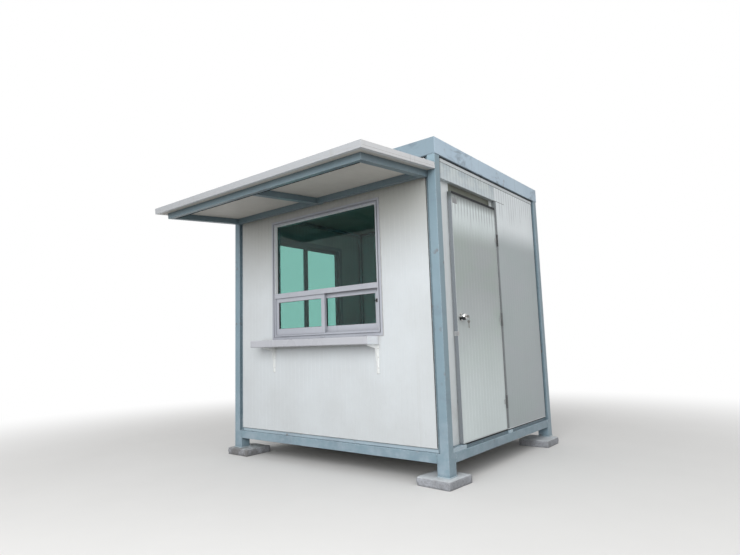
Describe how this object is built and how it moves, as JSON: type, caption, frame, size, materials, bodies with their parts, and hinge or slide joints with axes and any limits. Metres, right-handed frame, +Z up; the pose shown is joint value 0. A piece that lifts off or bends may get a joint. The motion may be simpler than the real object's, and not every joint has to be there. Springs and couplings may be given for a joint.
{
  "type": "security guard booth",
  "caption": "Steel-framed guard booth with white panel walls, sliding window and counter, sloping canopy and one outward door, on four concrete foot blocks.",
  "frame": {"origin": "on the ground, at the middle of the whole outline seen from above, canopy and blocks included", "axes": "+Z up; the window and the canopy face -Y; the door side faces +X"},
  "size_m": [2.55, 2.8834, 2.56],
  "materials": {
    "concrete": "cast, rough",
    "steel_paint": "blue-grey paint, satin",
    "floor_board": "worn, matt",
    "panel_white": "pre-painted ribbed steel, satin",
    "frame_white": "powder coat, satin",
    "sill_aluminium": "mill finish",
    "green_glass": "clear green float",
    "black_plastic": "matt",
    "counter_white": "gloss white",
    "bracket_white": "powder coat",
    "trim_white": "gloss white",
    "hinge_steel": "dull",
    "edging_aluminium": "anodised, dull",
    "gasket_rubber": "matt",
    "roller_plastic": "matt",
    "plate_grey": "dull grey",
    "key_steel": "worn nickel",
    "chrome": "polished"
  },
  "bodies": {
    "booth": {"foot_blocks": "concrete", "corner_posts": "steel_paint", "base_beams": "steel_paint", "top_beams": "steel_paint", "floor_joists": "steel_paint", "floor_deck": "floor_board", "roof_panel": "panel_white", "front_wall": "panel_white", "back_wall": "panel_white", "left_wall": "panel_white", "side_wall_rear": "panel_white", "side_wall_over_door": "panel_white", "door_jamb_near": "frame_white", "door_jamb_far": "frame_white", "door_head": "frame_white", "door_sill": "sill_aluminium", "window_frame": "frame_white", "window_transom": "frame_white", "upper_pane": "green_glass", "left_sash": "frame_white", "left_sash_pane": "green_glass", "right_sash": "frame_white", "right_sash_pane": "green_glass", "sash_latch": "black_plastic", "window_gaskets": "gasket_rubber", "window_rollers": "roller_plastic", "side_window_frame": "frame_white", "side_window_sashes": "frame_white", "side_window_panes": "green_glass", "side_window_gaskets": "gasket_rubber", "counter_board": "counter_white", "counter_brackets": "bracket_white", "canopy_panel": "panel_white", "canopy_trim": "trim_white", "canopy_tubes": "steel_paint", "canopy_flashing": "trim_white", "hinge_leaves": "hinge_steel"},
    "door": {"door_panel": "panel_white", "door_edging": "edging_aluminium", "leaf_plate": "plate_grey", "edge_hasp": "hinge_steel", "hinge_straps": "hinge_steel", "lock_rose": "chrome"},
    "knob": {"door_knob": "chrome", "door_keys": "key_steel"}
  },
  "joints": [
    {"name": "door_swing", "type": "hinge", "parent": "booth", "child": "door", "pos_m": [1.1923, 0.46068, 1.216], "axis": [0, 0, 1], "range_deg": [0, 165]},
    {"name": "knob_turn", "type": "hinge", "parent": "door", "child": "knob", "pos_m": [1.167, -0.25432, 1.203], "axis": [1, 0, 0], "range_deg": [-60, 60]}
  ]
}
